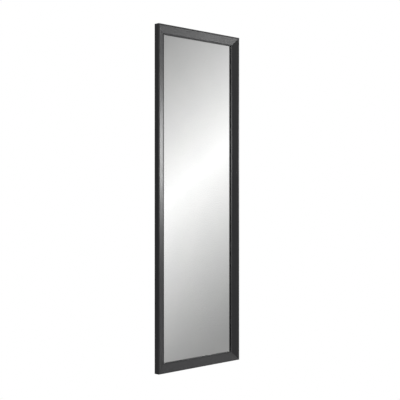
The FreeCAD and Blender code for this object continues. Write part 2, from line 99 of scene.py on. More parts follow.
def dress(tree, shader, colours, gloss=None, relief=()):
    # colours are a pattern and its two hex values, gloss is a pattern and its two roughnesses, and
    # relief holds pairs of a pattern and its height in millimetres, each laid over the last
    pattern, darkHex, lightHex = colours
    share = addNode(tree, "ShaderNodeMapRange", {"Value": pattern, **patternReach})
    mixed = addNode(tree, "ShaderNodeMix", {0: share.outputs["Result"], 6: linearColour(darkHex),
                                            7: linearColour(lightHex)}, data_type="RGBA")
    tree.links.new(mixed.outputs[2], shader.inputs["Base Color"])
    if gloss:
        pattern, smooth, rough = gloss
        share = addNode(tree, "ShaderNodeMapRange", {"Value": pattern, **patternReach,
                                                     "To Min": smooth, "To Max": rough})
        tree.links.new(share.outputs["Result"], shader.inputs["Roughness"])
    under = {}
    for pattern, height in relief:
        bump = addNode(tree, "ShaderNodeBump", {"Height": pattern, "Distance": height * mm,
                                                "Strength": 1.0, **under})
        under = {"Normal": bump.outputs["Normal"]}
        tree.links.new(under["Normal"], shader.inputs["Normal"])


def satinLacquer(name, grain):
    # black nitrocellulose lacquer sprayed on a beech moulding and left satin: a neutral near black
    # with broad soft lights, through which the wood's pores just show as fine lines along the grain
    material, tree, shader = newMaterial(name, {"IOR": 1.5, "Specular IOR Level": 0.32})
    pores = speckle(tree, grain, detail=2.0)
    cloud = speckle(tree, (60, 60, 60), detail=2.0)
    peel = speckle(tree, (1.6, 1.6, 1.6), detail=1.0)  # orange peel left by the spray gun
    dress(tree, shader, (pores, "#1c1c1e", "#262628"), (cloud, 0.28, 0.32),
          [(peel, 0.004), (pores, 0.012)])
    return material


def floatGlass():
    # soda-lime float glass: clear and dead flat, with hardly a trace of the green of its iron
    material, tree, shader = newMaterial("floatGlass", {"Roughness": 0.0, "IOR": 1.52,
                                                        "Transmission Weight": 1.0})
    dress(tree, shader, (speckle(tree, (90, 90, 90)), "#fcfdfc", "#fefefe"))
    return material


def silverCoat():
    # chemically deposited silver behind the glass: a sharp, near neutral reflection
    material, tree, shader = newMaterial("silverCoat", {"Metallic": 1.0, "Roughness": 0.0})
    dress(tree, shader, (speckle(tree, (120, 120, 120)), "#f5f5f5", "#f8f8f7"))
    return material


def polyesterFilm():
    # grey polyester safety film laid on wet: matt, with the faint waves of the squeegee
    material, tree, shader = newMaterial("polyesterFilm", {"IOR": 1.57})
    waves = speckle(tree, (90, 40, 12), detail=2.0, distortion=0.4)
    dress(tree, shader, (waves, "#8b8d90", "#96989b"), (waves, 0.42, 0.55), [(waves, 0.05)])
    return material


def foamTape():
    # closed-cell polyethylene foam: off-white, dull, its cut sides full of small cells
    material, tree, shader = newMaterial("foamTape", {"IOR": 1.5, "Roughness": 0.85})
    cells = addNode(tree, "ShaderNodeTexVoronoi", {
        "Vector": addNode(tree, "ShaderNodeTexCoord").outputs["Object"],
        "Scale": 1 / (0.5 * mm)}).outputs["Distance"]  # half a millimetre from cell to cell
    dress(tree, shader, (cells, "#e9e8e3", "#c9c7bf"), relief=[(cells, 0.08)])
    return material


def hardboard():
    # wet-pressed wood fibre, smooth side out: brown and waxy, with darker and paler felted fibres
    material, tree, shader = newMaterial("hardboard", {"IOR": 1.47})
    fibres = speckle(tree, (5.0, 5.0, 1.4), detail=5.0, distortion=1.5)
    flecks = speckle(tree, (1.2, 1.2, 3.6), detail=4.0, distortion=0.8)
    clouds = speckle(tree, (70, 70, 110), detail=3.0)
    share = addNode(tree, "ShaderNodeMath", {0: fibres, 1: flecks}, operation="ADD")
    share = addNode(tree, "ShaderNodeMath", {0: share.outputs[0], 1: clouds}, operation="ADD")
    even = addNode(tree, "ShaderNodeMath", {0: share.outputs[0], 1: 3.0}, operation="DIVIDE")
    dress(tree, shader, (even.outputs[0], "#77502f", "#93693f"), (flecks, 0.48, 0.62),
          [(flecks, 0.03)])
    return material


def zincPlatedSteel():
    # cold-rolled strip, bright zinc plated: cool grey with drawing lines along the rolled length
    material, tree, shader = newMaterial("zincPlatedSteel", {"Metallic": 1.0})
    lines = speckle(tree, (70, 0.5, 0.5), detail=2.0)  # coarser than the real lines, so they show
    bloom = speckle(tree, (22, 22, 22), detail=3.0, distortion=0.6)
    dress(tree, shader, (bloom, "#babdbf", "#c6c8ca"), (lines, 0.24, 0.40), [(lines, 0.004)])
    return material


def stampedSteel():
    # plain strip steel stamped into a ball cage, oiled: a darker, yellower grey than the zinc
    material, tree, shader = newMaterial("stampedSteel", {"Metallic": 1.0})
    oil = speckle(tree, (14, 9, 9), detail=3.0)
    dress(tree, shader, (oil, "#8d8b84", "#a6a49c"), (oil, 0.28, 0.45))
    return material


def bearingSteel():
    # ground and lapped chrome steel: a hard bright polish under a film of grease
    material, tree, shader = newMaterial("bearingSteel", {"Metallic": 1.0})
    grease = speckle(tree, (1.8, 1.8, 1.8), detail=1.0)
    dress(tree, shader, (grease, "#c2c2c3", "#d2d2d2"), (grease, 0.08, 0.2))
    return material


def screwZinc():
    # cold-headed screw steel, zinc plated and passivated: pale with a faint blue cast
    material, tree, shader = newMaterial("screwZinc", {"Metallic": 1.0})
    cast = speckle(tree, (3, 3, 3), detail=2.0)
    dress(tree, shader, (cast, "#b4b8be", "#cdcfd2"), (cast, 0.24, 0.36))
    return material


def bluedSpringSteel():
    # hardened strip, blued by its tempering: dark blue grey, with straw where it cooled first
    material, tree, shader = newMaterial("bluedSpringSteel", {"Metallic": 1.0})
    temper = speckle(tree, (6, 6, 6), detail=2.0)
    dress(tree, shader, (temper, "#5d6674", "#8b8471"), (temper, 0.3, 0.42))
    return material


def blackPowderCoat():
    # polyester powder baked on steel: dull black with a fine even sand texture
    material, tree, shader = newMaterial("blackPowderCoat", {"IOR": 1.5})
    sand = speckle(tree, (0.9, 0.9, 0.9), detail=2.0)  # drawn coarser than the real half millimetre
    cloud = speckle(tree, (45, 45, 45), detail=2.0)
    dress(tree, shader, (sand, "#1d1d1e", "#2a2a2b"), (cloud, 0.48, 0.58), [(sand, 0.05)])
    return material


def naturalNylon():
    # unfilled moulded nylon: milky ivory, slightly waxy, light just enters its surface
    material, tree, shader = newMaterial("naturalNylon", {"IOR": 1.53, "Subsurface Weight": 0.2,
                                                          "Subsurface Scale": 1.5 * mm})
    haze = speckle(tree, (4, 4, 4), detail=2.0)
    dress(tree, shader, (haze, "#e2ddcf", "#ece8dc"), (haze, 0.36, 0.46))
    return material


def mouldedRubber():
    # nitrile rubber from a mould: dull charcoal with a dusty bloom
    material, tree, shader = newMaterial("mouldedRubber", {"IOR": 1.52})
    bloom = speckle(tree, (5, 5, 5), detail=4.0)
    dress(tree, shader, (bloom, "#1f1f20", "#313132"), (bloom, 0.7, 0.85), [(bloom, 0.03)])
    return material


def mouldedAbs():
    # injection moulded ABS from an eroded mould: black with a fine matt texture
    material, tree, shader = newMaterial("mouldedAbs", {"IOR": 1.54})
    texture = speckle(tree, (0.7, 0.7, 0.7), detail=1.0)
    dress(tree, shader, (texture, "#232324", "#2d2d2e"), (texture, 0.42, 0.55), [(texture, 0.02)])
    return material


def sinteredFerrite():
    # ceramic magnet, ground on its faces: charcoal with a faint mineral glint
    material, tree, shader = newMaterial("sinteredFerrite", {"IOR": 2.0})
    grit = speckle(tree, (0.6, 0.6, 0.6), detail=3.0)
    dress(tree, shader, (grit, "#343436", "#48484a"), (grit, 0.4, 0.65), [(grit, 0.02)])
    return material


# the wood's grain is drawn in lines 90 mm long and 0.9 mm wide, coarser than real so that they show
finishes = {
    "uprightLacquer": satinLacquer("uprightSatinLacquer", (0.9, 0.9, 90)),
    "levelLacquer": satinLacquer("levelSatinLacquer", (90, 0.9, 0.9)),
    "mirror": floatGlass(),
    "silver": silverCoat(),
    "film": polyesterFilm(),
    "foam_tape": foamTape(),
    "fibreboard": hardboard(),
    "zinc_steel": zincPlatedSteel(),
    "cage_steel": stampedSteel(),
    "ball_steel": bearingSteel(),
    "screw_steel": screwZinc(),
    "spring_steel": bluedSpringSteel(),
    "black_powder": blackPowderCoat(),
    "bush_nylon": naturalNylon(),
    "bumper_rubber": mouldedRubber(),
    "catch_plastic": mouldedAbs(),
    "ferrite": sinteredFerrite(),
}
print("finishes:", len(finishes))


def newTree(name, sizes):
    # a Geometry Nodes tree that takes a mesh and named sizes and gives a mesh
    tree = bpy.data.node_groups.new(name, "GeometryNodeTree")
    tree.interface.new_socket("Geometry", in_out="INPUT", socket_type="NodeSocketGeometry")
    for label, kind in sizes.items():
        tree.interface.new_socket(label, in_out="INPUT", socket_type="NodeSocket" + kind)
    tree.interface.new_socket("Geometry", in_out="OUTPUT", socket_type="NodeSocketGeometry")
    return tree, tree.nodes.new("NodeGroupInput").outputs


def endTree(tree, geometry, given):
    # instances become real mesh, and all of it takes the given material
    real = addNode(tree, "GeometryNodeRealizeInstances", {"Geometry": geometry})
    dressed = addNode(tree, "GeometryNodeSetMaterial", {"Geometry": real.outputs["Geometry"],
                                                        "Material": given["Material"]})
    tree.links.new(dressed.outputs["Geometry"], tree.nodes.new("NodeGroupOutput").inputs[0])
    return tree


def newPiece(name, mesh):
    piece = bpy.data.objects.new(name, mesh)
    bpy.context.scene.collection.objects.link(piece)
    return piece


def pointMesh(name, points):
    mesh = bpy.data.meshes.new(name)
    mesh.from_pydata([tuple(point) for point in points], [], [])
    return mesh


def shapedPiece(name, tree, values, points=((0, 0, 0),)):
    # run a tree on a few points and keep what it makes as a plain mesh
    piece = newPiece(name, pointMesh(name, points))
    modifier = piece.modifiers.new("shape", "NODES")
    modifier.node_group = tree
    for item in tree.interface.items_tree:
        if item.in_out == "INPUT" and item.name in values:
            modifier[item.identifier] = values[item.name]
    evaluated = piece.evaluated_get(bpy.context.evaluated_depsgraph_get())
    plain = bpy.data.meshes.new_from_object(evaluated)
    piece.modifiers.remove(modifier)
    piece.data = plain
    return piece


def smoothFaces(piece, sharpAngle=40):
    # curved faces shade smoothly, flat ones stay flat
    piece.data.shade_smooth()
    piece.data.set_sharp_from_angle(angle=math.radians(sharpAngle))
    weighted = piece.modifiers.new("flatFaces", "WEIGHTED_NORMAL")
    weighted.keep_sharp = True


def place(piece, node):
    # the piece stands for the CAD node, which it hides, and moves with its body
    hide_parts(node)
    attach(piece, bodyOf[node])


def mergedCopy(node, joinDistance=0.001, flatAngle=0.5):
    # a CAD node's loose triangles joined into closed solids, with their flat faces whole: points
    # within joinDistance mm become one, triangles within flatAngle degrees become one face
    solid = bmesh.new()
    solid.from_mesh(frame["nodes"][node].data)
    bmesh.ops.remove_doubles(solid, verts=solid.verts, dist=joinDistance * mm)
    bmesh.ops.dissolve_limit(solid, angle_limit=math.radians(flatAngle), verts=solid.verts,
                             edges=solid.edges)
    return solid


def solidCentres(node):
    # the centre of each separate solid in a CAD node
    solid = mergedCopy(node)
    left, centres = set(solid.verts), []
    while left:
        island, edge = set(), [left.pop()]
        while edge:
            vertex = edge.pop()
            island.add(vertex)
            near = {link.other_vert(vertex) for link in vertex.link_edges} & left
            left -= near
            edge += near
        low = Vector(min(vertex.co[axis] for vertex in island) for axis in range(3))
        high = Vector(max(vertex.co[axis] for vertex in island) for axis in range(3))
        centres.append((low + high) / 2)
    solid.free()
    return sorted(centres, key=tuple)


# moulding of the mirror's frame, in millimetres from its outer edge inwards and its rim backwards
moulding = {
    "rimWidth": 5.2,
    "slopeWidth": 23.1,
    "slopeDrop": 10.4,
    "lipWidth": 4.7,
    "lipThickness": 3.5,
    "rebateWidth": 6.5,
    "outerRadius": 0.5,
    "arrisRadius": 0.3,
    "backEdgeRadius": 0.15,
    "arrisSteps": 4,
    "mitreGap": 0.05,
}


def mouldingTree():
    # a profile swept along a side, each point of it shortened by its own distance inwards: a mitre
    tree, given = newTree("mouldingTree", {"Profile": "Object", "Half Length": "Float",
                                           "Steps": "Int", "Mitre Gap": "Float", "Turn": "Rotation",
                                           "Corner": "Vector", "Material": "Material"})
    profile = addNode(tree, "GeometryNodeObjectInfo", {"Object": given["Profile"]})
    rounded = addNode(tree, "GeometryNodeFilletCurve", {
        "Curve": profile.outputs["Geometry"], "Count": given["Steps"], "Limit Radius": True,
        "Radius": addNode(tree, "GeometryNodeInputRadius").outputs["Radius"]}, mode="POLY")
    line = addNode(tree, "GeometryNodeCurvePrimitiveLine", {"Start": (0, 0, -1), "End": (0, 0, 1)})
    swept = addNode(tree, "GeometryNodeCurveToMesh", {
        "Curve": line.outputs["Curve"], "Profile Curve": rounded.outputs["Curve"],
        "Fill Caps": True})
    here = addNode(tree, "ShaderNodeSeparateXYZ",
                   {"Vector": addNode(tree, "GeometryNodeInputPosition").outputs["Position"]})
    reach = addNode(tree, "ShaderNodeMath", {0: given["Half Length"], 1: here.outputs["X"]},
                    operation="SUBTRACT")
    reach = addNode(tree, "ShaderNodeMath", {0: reach.outputs[0], 1: given["Mitre Gap"]},
                    operation="SUBTRACT")
    along = addNode(tree, "ShaderNodeMath", {0: here.outputs["Z"], 1: reach.outputs[0]},
                    operation="MULTIPLY")
    there = addNode(tree, "ShaderNodeCombineXYZ", {"X": here.outputs["X"], "Y": here.outputs["Y"],
                                                   "Z": along.outputs[0]})
    mitred = addNode(tree, "GeometryNodeSetPosition", {"Geometry": swept.outputs["Mesh"],
                                                       "Position": there.outputs["Vector"]})
    turned = addNode(tree, "GeometryNodeTransform", {
        "Geometry": mitred.outputs["Geometry"], "Rotation": given["Turn"],
        "Translation": given["Corner"]})
    return endTree(tree, turned.outputs["Geometry"], given)


def mouldingProfile(depth):
    # closed outline of the moulding, each corner with its own radius
    rim = moulding["rimWidth"]
    foot = rim + moulding["slopeWidth"]
    face = foot + moulding["lipWidth"]
    rebate = face - moulding["rebateWidth"]
    level = moulding["slopeDrop"] - depth
    lipBack = level + moulding["lipThickness"]
    arris, sawn = moulding["arrisRadius"], moulding["backEdgeRadius"]
    corners = [(0, 0, sawn), (0, -depth, moulding["outerRadius"]), (rim, -depth, arris),
               (foot, level, arris), (face, level, arris), (face, lipBack, sawn),
               (rebate, lipBack, sawn), (rebate, 0, sawn)]
    outline = bpy.data.curves.new("mouldingProfile", "CURVE")
    outline.dimensions = "3D"
    spline = outline.splines.new("POLY")
    spline.points.add(len(corners) - 1)
    for point, (across, back, radius) in zip(spline.points, corners):
        point.co = (across * mm, back * mm, 0, 1)
        point.radius = radius * mm
    spline.use_cyclic_u = True
    return newPiece("mouldingProfile", outline)


def frameMouldings():
    low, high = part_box("stile_left")
    tree, profile = mouldingTree(), mouldingProfile((high.y - low.y) / mm)
    left, right, back, top = low.x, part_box("stile_right")[1].x, high.y, high.z
    middle = (left + right) / 2
    sides = {
        "stile_left": (0, (left, back, 0), top, "uprightLacquer"),
        "stile_right": (180, (right, back, 0), top, "uprightLacquer"),
        "rail_top": (90, (middle, back, top), (right - left) / 2, "levelLacquer"),
        "rail_bottom": (-90, (middle, back, -top), (right - left) / 2, "levelLacquer"),
    }
    for node, (turn, corner, halfLength, finish) in sides.items():
        piece = shapedPiece(node + "_moulding", tree, {
            "Profile": profile, "Half Length": halfLength, "Steps": moulding["arrisSteps"],
            "Mitre Gap": moulding["mitreGap"] * mm, "Turn": (0, math.radians(turn), 0),
            "Corner": corner, "Material": finishes[finish]})
        smoothFaces(piece)
        place(piece, node)
    bpy.data.objects.remove(profile)


frameMouldings()
print("frame mouldings made")

silver = {"inset": 0.4, "front": 0.02, "back": 0.005, "cornerRadius": 1.5, "cornerSteps": 4}


def silverLayer():
    # the mirror's silver, a hair inside the glass's back face
    low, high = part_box("mirror_glass")
    radius, inset = silver["cornerRadius"] * mm, silver["inset"] * mm
    halfWidth, halfHeight = (high.x - low.x) / 2 - inset, (high.z - low.z) / 2 - inset
    centre = (low + high) / 2
    outline = []
    for quarter, (signX, signZ) in enumerate([(1, 1), (-1, 1), (-1, -1), (1, -1)]):
        for step in range(silver["cornerSteps"] + 1):
            turn = math.pi / 2 * (quarter + step / silver["cornerSteps"])
            outline.append((centre.x + signX * (halfWidth - radius) + radius * math.cos(turn),
                            centre.z + signZ * (halfHeight - radius) + radius * math.sin(turn)))
    solid = bmesh.new()
    front, back = ([solid.verts.new((x, high.y - silver[side] * mm, z)) for x, z in outline]
                   for side in ("front", "back"))
    solid.faces.new(front)
    solid.faces.new(back[::-1])
    for here in range(len(outline)):  # the first side joins the last point to the first
        solid.faces.new((front[here], front[here - 1], back[here - 1], back[here]))
    mesh = bpy.data.meshes.new("silver_layer")
    solid.to_mesh(mesh)
    solid.free()
    mesh.materials.append(finishes["silver"])
    piece = newPiece("silver_layer", mesh)
    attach(piece, "mirror")


silverLayer()
print("silver laid")

softEdges = {  # radius in millimetres that each CAD solid's sheared, moulded or sawn edges get
    "wall_plate": 0.35,
    "cabinet_member": 0.2,
    "middle_member": 0.2,
    "runner": 0.2,
    "outer_cage": 0.1,
    "inner_cage": 0.1,
    "rear_bumper": 0.4,
    "carriage_bracket": 0.35,
    "hinge_plate": 0.35,
    "pivot_bushes": 0.25,
    "pivot_pin": 0.3,
    "pin_clip": 0.12,
    "catch_body": 0.3,
    "catch_magnet": 0.25,
    "catch_poles": 0.2,
    "strike_plate": 0.12,
    "corner_nails": 0.1,
    "glazing_points": 0.1,
    "mirror_tape": 0.2,
    "backing_board": 0.25,
}


def softEdged(node, radius, sharpAngle=math.radians(35), segments=2):
    # the CAD solid as made, with its edges broken as deburring or moulding leaves them
    solid = mergedCopy(node)
    mesh = bpy.data.meshes.new(node + "_finished")
    solid.to_mesh(mesh)
    solid.free()
    mesh.materials.clear()
    mesh.materials.append(finishes[slotOf[node]])
    piece = newPiece(node + "_finished", mesh)
    mesh.shade_smooth()
    mesh.set_sharp_from_angle(angle=sharpAngle)
    bevel = piece.modifiers.new("softEdges", "BEVEL")
    bevel.width = radius * mm
    bevel.segments = segments
    bevel.limit_method = "ANGLE"
    bevel.angle_limit = sharpAngle
    bevel.use_clamp_overlap = True
    bevel.harden_normals = True
    place(piece, node)


for node, radius in softEdges.items():
    softEdged(node, radius)
print("edges softened:", len(softEdges))


def repeatTree():
    # one shape on every point, leant the same way and turned by chance about its own axis
    tree, given = newTree("repeatTree", {"Shape": "Object", "Lean": "Rotation", "Seed": "Int",
                                         "Material": "Material"})
    shape = addNode(tree, "GeometryNodeObjectInfo", {"Object": given["Shape"]})
    standing = addNode(tree, "GeometryNodeInstanceOnPoints", {
        "Points": given["Geometry"], "Instance": shape.outputs["Geometry"],
        "Rotation": given["Lean"]})
    chance = addNode(tree, "FunctionNodeRandomValue", {"Seed": given["Seed"]}, data_type="FLOAT")
    angle = addNode(tree, "ShaderNodeMath", {0: chance.outputs[1], 1: 2 * math.pi},
                    operation="MULTIPLY")
    spin = addNode(tree, "ShaderNodeCombineXYZ", {"Z": angle.outputs[0]})
    spun = addNode(tree, "GeometryNodeRotateInstances", {
        "Instances": standing.outputs["Instances"], "Rotation": spin.outputs["Vector"],
        "Local Space": True})
    return endTree(tree, spun.outputs["Instances"], given)


def ringMesh(name, rings):
    # rings of points joined into a skin, closed at both ends by a point
    mesh = bpy.data.meshes.new(name)
    solid = bmesh.new()
    rows = [[solid.verts.new(point) for point in ring] for ring in rings]
    for upper, lower in zip(rows, rows[1:]):
        for here in range(max(len(upper), len(lower))):
            after = here + 1
            corners = [upper[here % len(upper)], lower[here % len(lower)],
                       lower[after % len(lower)], upper[after % len(upper)]]
            solid.faces.new(list(dict.fromkeys(corners)))
    bmesh.ops.recalc_face_normals(solid, faces=solid.faces)
    solid.to_mesh(mesh)
    solid.free()
    mesh.shade_smooth()
    return mesh


screw = {  # a 4 mm countersunk screw with a cross recess, in millimetres
    "headRadius": 4.25,
    "headHeight": 2.5,
    "rimHeight": 0.15,
    "coreRadius": 1.45,
    "crestRadius": 1.98,
    "pitch": 1.2,
    "recessDepth": 1.6,
    "wingReach": 2.25,
    "wingHalfWidth": 0.6,
    "floorReach": 0.85,
    "floorHalfWidth": 0.35,
    "wingSteps": 4,
    "threadSteps": 6,
    "tipLength": 1.2,
    "tipShare": 0.15,
}


def crossRing(reach, halfWidth, height):
    # outline of the driver's cross: every wing's end, then along its side to the next wing
    steps = screw["wingSteps"]
    side = [reach + (halfWidth - reach) * step / steps for step in range(steps)]
    quarter = [(reach, 0)] + [(along, halfWidth) for along in side] + [(halfWidth, halfWidth)]
    quarter += [(halfWidth, along) for along in reversed(side)]
    outline = []
    for _ in range(4):
        outline += [(x * mm, y * mm, height * mm) for x, y in quarter]
        quarter = [(-y, x) for x, y in quarter]
    return outline


def screwMesh(name, length):
    # the head's face lies at height 0 and the thread winds down from it
    wings = crossRing(screw["wingReach"], screw["wingHalfWidth"], 0)
    turns = [2 * math.pi * sector / len(wings) for sector in range(len(wings))]

    def ring(radius, height):
        return [(radius * mm * math.cos(turn), radius * mm * math.sin(turn), height * mm)
                for turn in turns]

    rings = [[(0, 0, -screw["recessDepth"] * mm)],
             crossRing(screw["floorReach"], screw["floorHalfWidth"], -screw["recessDepth"]),
             wings, ring(screw["headRadius"] - screw["rimHeight"], 0),
             ring(screw["headRadius"], -screw["rimHeight"]),
             ring(screw["headRadius"], -2 * screw["rimHeight"]),
             ring(screw["crestRadius"], -screw["headHeight"])]
    depth = screw["headHeight"] + screw["pitch"] / screw["threadSteps"]
    while depth < length:
        taper = min(1.0, max(screw["tipShare"], (length - depth) / screw["tipLength"]))
        skin = []
        for turn in turns:
            phase = (depth / screw["pitch"] + turn / (2 * math.pi)) % 1.0
            ridge = 1 - abs(2 * phase - 1)
            radius = screw["coreRadius"] + (screw["crestRadius"] - screw["coreRadius"]) * ridge ** 2
            skin.append((radius * taper * mm * math.cos(turn), radius * taper * mm * math.sin(turn),
                         -depth * mm))
        rings.append(skin)
        depth += screw["pitch"] / screw["threadSteps"]
    rings.append([(0, 0, -length * mm)])
    return ringMesh(name, rings)


def screws(node, facing, seed):
    # the head of each screw lies where the CAD screw has it, facing is +1 or -1 along Y
    low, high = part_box(node)
    face = high.y if facing > 0 else low.y
    shape = newPiece(node + "Shape", screwMesh(node + "Shape", (high.y - low.y) / mm))
    points = [(centre.x, face, centre.z) for centre in solidCentres(node)]
    piece = shapedPiece(node + "_crossed", repeats, {
        "Shape": shape, "Lean": (math.radians(-90 * facing), 0, 0), "Seed": seed,
        "Material": finishes["screw_steel"]}, points)
    bpy.data.objects.remove(shape)
    smoothFaces(piece)
    place(piece, node)


def ballShape(radius, subdivisions=4):
    solid = bmesh.new()
    bmesh.ops.create_icosphere(solid, subdivisions=subdivisions, radius=radius)
    mesh = bpy.data.meshes.new("ballShape")
    solid.to_mesh(mesh)
    solid.free()
    mesh.shade_smooth()
    return newPiece("ballShape", mesh)


def slideBalls(node, seed):
    low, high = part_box(node)
    shape = ballShape((high.y - low.y) / 2)
    piece = shapedPiece(node + "_lapped", repeats, {"Shape": shape, "Lean": (0, 0, 0), "Seed": seed,
                                                    "Material": finishes["ball_steel"]},
                        solidCentres(node))
    bpy.data.objects.remove(shape)
    place(piece, node)


repeats = repeatTree()
screws("bracket_screws", -1, 11)
screws("hinge_screws", 1, 12)
slideBalls("outer_balls", 21)
slideBalls("inner_balls", 22)
print("screws and balls made")

weld = {  # stitches between the pivot's barrel and the bracket's sheet, in millimetres
    "stitches": 3,
    "stitchLength": 16.0,
    "stitchPitch": 29.0,
    "beadRadius": 1.5,
    "ripplePitch": 1.7,
    "rippleDepth": 0.13,
    "endShare": 0.02,
    "bluntness": 0.3,
    "sides": 14,
    "stepLength": 0.4,
}


def weldTree():
    # a bead swept up from every point, rippled along its length and tapered at both ends
    tree, given = newTree("weldTree", {
        "Length": "Float", "Radius": "Float", "Ripple Pitch": "Float", "Ripple Depth": "Float",
        "End Share": "Float", "Bluntness": "Float", "Steps": "Int", "Sides": "Int",
        "Material": "Material"})
    line = addNode(tree, "GeometryNodeCurvePrimitiveLine", {
        "Start": (0, 0, 0),
        "End": addNode(tree, "ShaderNodeCombineXYZ", {"Z": given["Length"]}).outputs["Vector"]})
    stepped = addNode(tree, "GeometryNodeResampleCurve", {"Curve": line.outputs["Curve"],
                                                          "Count": given["Steps"]})
    along = addNode(tree, "GeometryNodeSplineParameter").outputs
    turn = addNode(tree, "ShaderNodeMath", {0: along["Length"], 1: given["Ripple Pitch"]},
                   operation="DIVIDE")
    turn = addNode(tree, "ShaderNodeMath", {0: turn.outputs[0], 1: 2 * math.pi},
                   operation="MULTIPLY")
    wave = addNode(tree, "ShaderNodeMath", {0: turn.outputs[0]}, operation="SINE")
    ripple = addNode(tree, "ShaderNodeMath", {0: wave.outputs[0], 1: given["Ripple Depth"]},
                     operation="MULTIPLY")
    far = addNode(tree, "ShaderNodeMath", {0: 1.0, 1: given["End Share"]}, operation="SUBTRACT")
    bow = addNode(tree, "ShaderNodeMapRange", {
        "Value": along["Factor"], "To Min": given["End Share"], "To Max": far.outputs[0]})
    bow = addNode(tree, "ShaderNodeMath", {0: bow.outputs["Result"], 1: math.pi},
                  operation="MULTIPLY")
    taper = addNode(tree, "ShaderNodeMath", {0: bow.outputs[0]}, operation="SINE")
    taper = addNode(tree, "ShaderNodeMath", {0: taper.outputs[0], 1: given["Bluntness"]},
                    operation="POWER")
    full = addNode(tree, "ShaderNodeMath", {0: given["Radius"], 1: taper.outputs[0]},
                   operation="MULTIPLY")
    size = addNode(tree, "ShaderNodeMath", {0: full.outputs[0], 1: ripple.outputs[0]},
                   operation="ADD")
    ring = addNode(tree, "GeometryNodeCurvePrimitiveCircle", {"Resolution": given["Sides"],
                                                              "Radius": 1.0})
    bead = addNode(tree, "GeometryNodeCurveToMesh", {
        "Curve": stepped.outputs["Curve"], "Profile Curve": ring.outputs["Curve"],
        "Scale": size.outputs[0], "Fill Caps": True})
    laid = addNode(tree, "GeometryNodeInstanceOnPoints", {"Points": given["Geometry"],
                                                          "Instance": bead.outputs["Mesh"]})
    return endTree(tree, laid.outputs["Instances"], given)


def weldBeads():
    # in the notch where the barrel leaves the wall side of the bracket's sheet
    barrelLow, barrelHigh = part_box("pivot_bushes")
    centre = (barrelLow + barrelHigh) / 2
    radius = (barrelHigh.x - barrelLow.x) / 2
    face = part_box("runner")[0].y
    notch = centre.x + math.sqrt(radius ** 2 - (face - centre.y) ** 2)
    half = weld["stitchLength"] * mm / 2
    starts = [(notch, face, (stitch - (weld["stitches"] - 1) / 2) * weld["stitchPitch"] * mm - half)
              for stitch in range(weld["stitches"])]
    piece = shapedPiece("weld_beads", weldTree(), {
        "Length": 2 * half, "Radius": weld["beadRadius"] * mm,
        "Ripple Pitch": weld["ripplePitch"] * mm, "Ripple Depth": weld["rippleDepth"] * mm,
        "End Share": weld["endShare"], "Bluntness": weld["bluntness"],
        "Steps": round(weld["stitchLength"] / weld["stepLength"]), "Sides": weld["sides"],
        "Material": finishes["black_powder"]}, starts)
    smoothFaces(piece, sharpAngle=60)
    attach(piece, "carriage")


spotPrint = {  # what the welding electrodes leave on the slide's web, in millimetres
    "columns": 4,
    "rows": 2,
    "columnPitch": 90.0,
    "rowPitch": 24.0,
    "webThickness": 1.2,
    "sunkDepth": 0.05,
    "radii": (3.4, 3.2, 2.9, 2.6, 2.3),
    "heights": (0.0, 0.06, 0.1, 0.06, 0.02),
    "sectors": 40,
}


def spotPrintMesh():
    # a ring of squeezed-out metal round the electrode's flat print, its foot sunk in the web
    turns = [2 * math.pi * sector / spotPrint["sectors"] for sector in range(spotPrint["sectors"])]
    foot = -spotPrint["sunkDepth"]
    levels = [(spotPrint["radii"][0], foot)] + list(zip(spotPrint["radii"], spotPrint["heights"]))
    rings = [[(radius * mm * math.cos(turn), radius * mm * math.sin(turn), height * mm)
              for turn in turns] for radius, height in levels]
    middle = spotPrint["heights"][-1]
    return ringMesh("spotPrintShape", [[(0, 0, foot * mm)]] + rings + [[(0, 0, middle * mm)]])


def spotPrints():
    low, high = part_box("cabinet_member")
    centre = (low + high) / 2
    face = high.y - spotPrint["webThickness"] * mm
    points = [(centre.x + (column - (spotPrint["columns"] - 1) / 2) * spotPrint["columnPitch"] * mm,
               face, centre.z + (row - (spotPrint["rows"] - 1) / 2) * spotPrint["rowPitch"] * mm)
              for column in range(spotPrint["columns"]) for row in range(spotPrint["rows"])]
    shape = newPiece("spotPrintShape", spotPrintMesh())
    piece = shapedPiece("spot_weld_prints", repeats, {
        "Shape": shape, "Lean": (math.radians(90), 0, 0), "Seed": 31,
        "Material": finishes["zinc_steel"]}, points)
    bpy.data.objects.remove(shape)
    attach(piece, bodyOf["cabinet_member"])


weldBeads()
spotPrints()
print("welds laid")

for node in ("mirror_glass", "safety_film"):
    frame["nodes"][node].data.materials.clear()
    frame["nodes"][node].data.materials.append(finishes[slotOf[node]])

studio = {  # metres, degrees, and light levels where 1 is white
    "floorLevel": -1.2,
    "floorRadius": 2.0,
    "floorFadeFrom": 1.0,
    "floorSides": 96,
    "floorColour": "#ececec",
    "daylight": 0.62,
    "bandTop": 1.162,
    "bandFoot": 0.327,
    "bandFall": 1.383,
    "bandHeading": -47.83,
    "bandTilt": 0.844,
    "bandPeriods": 12,
}


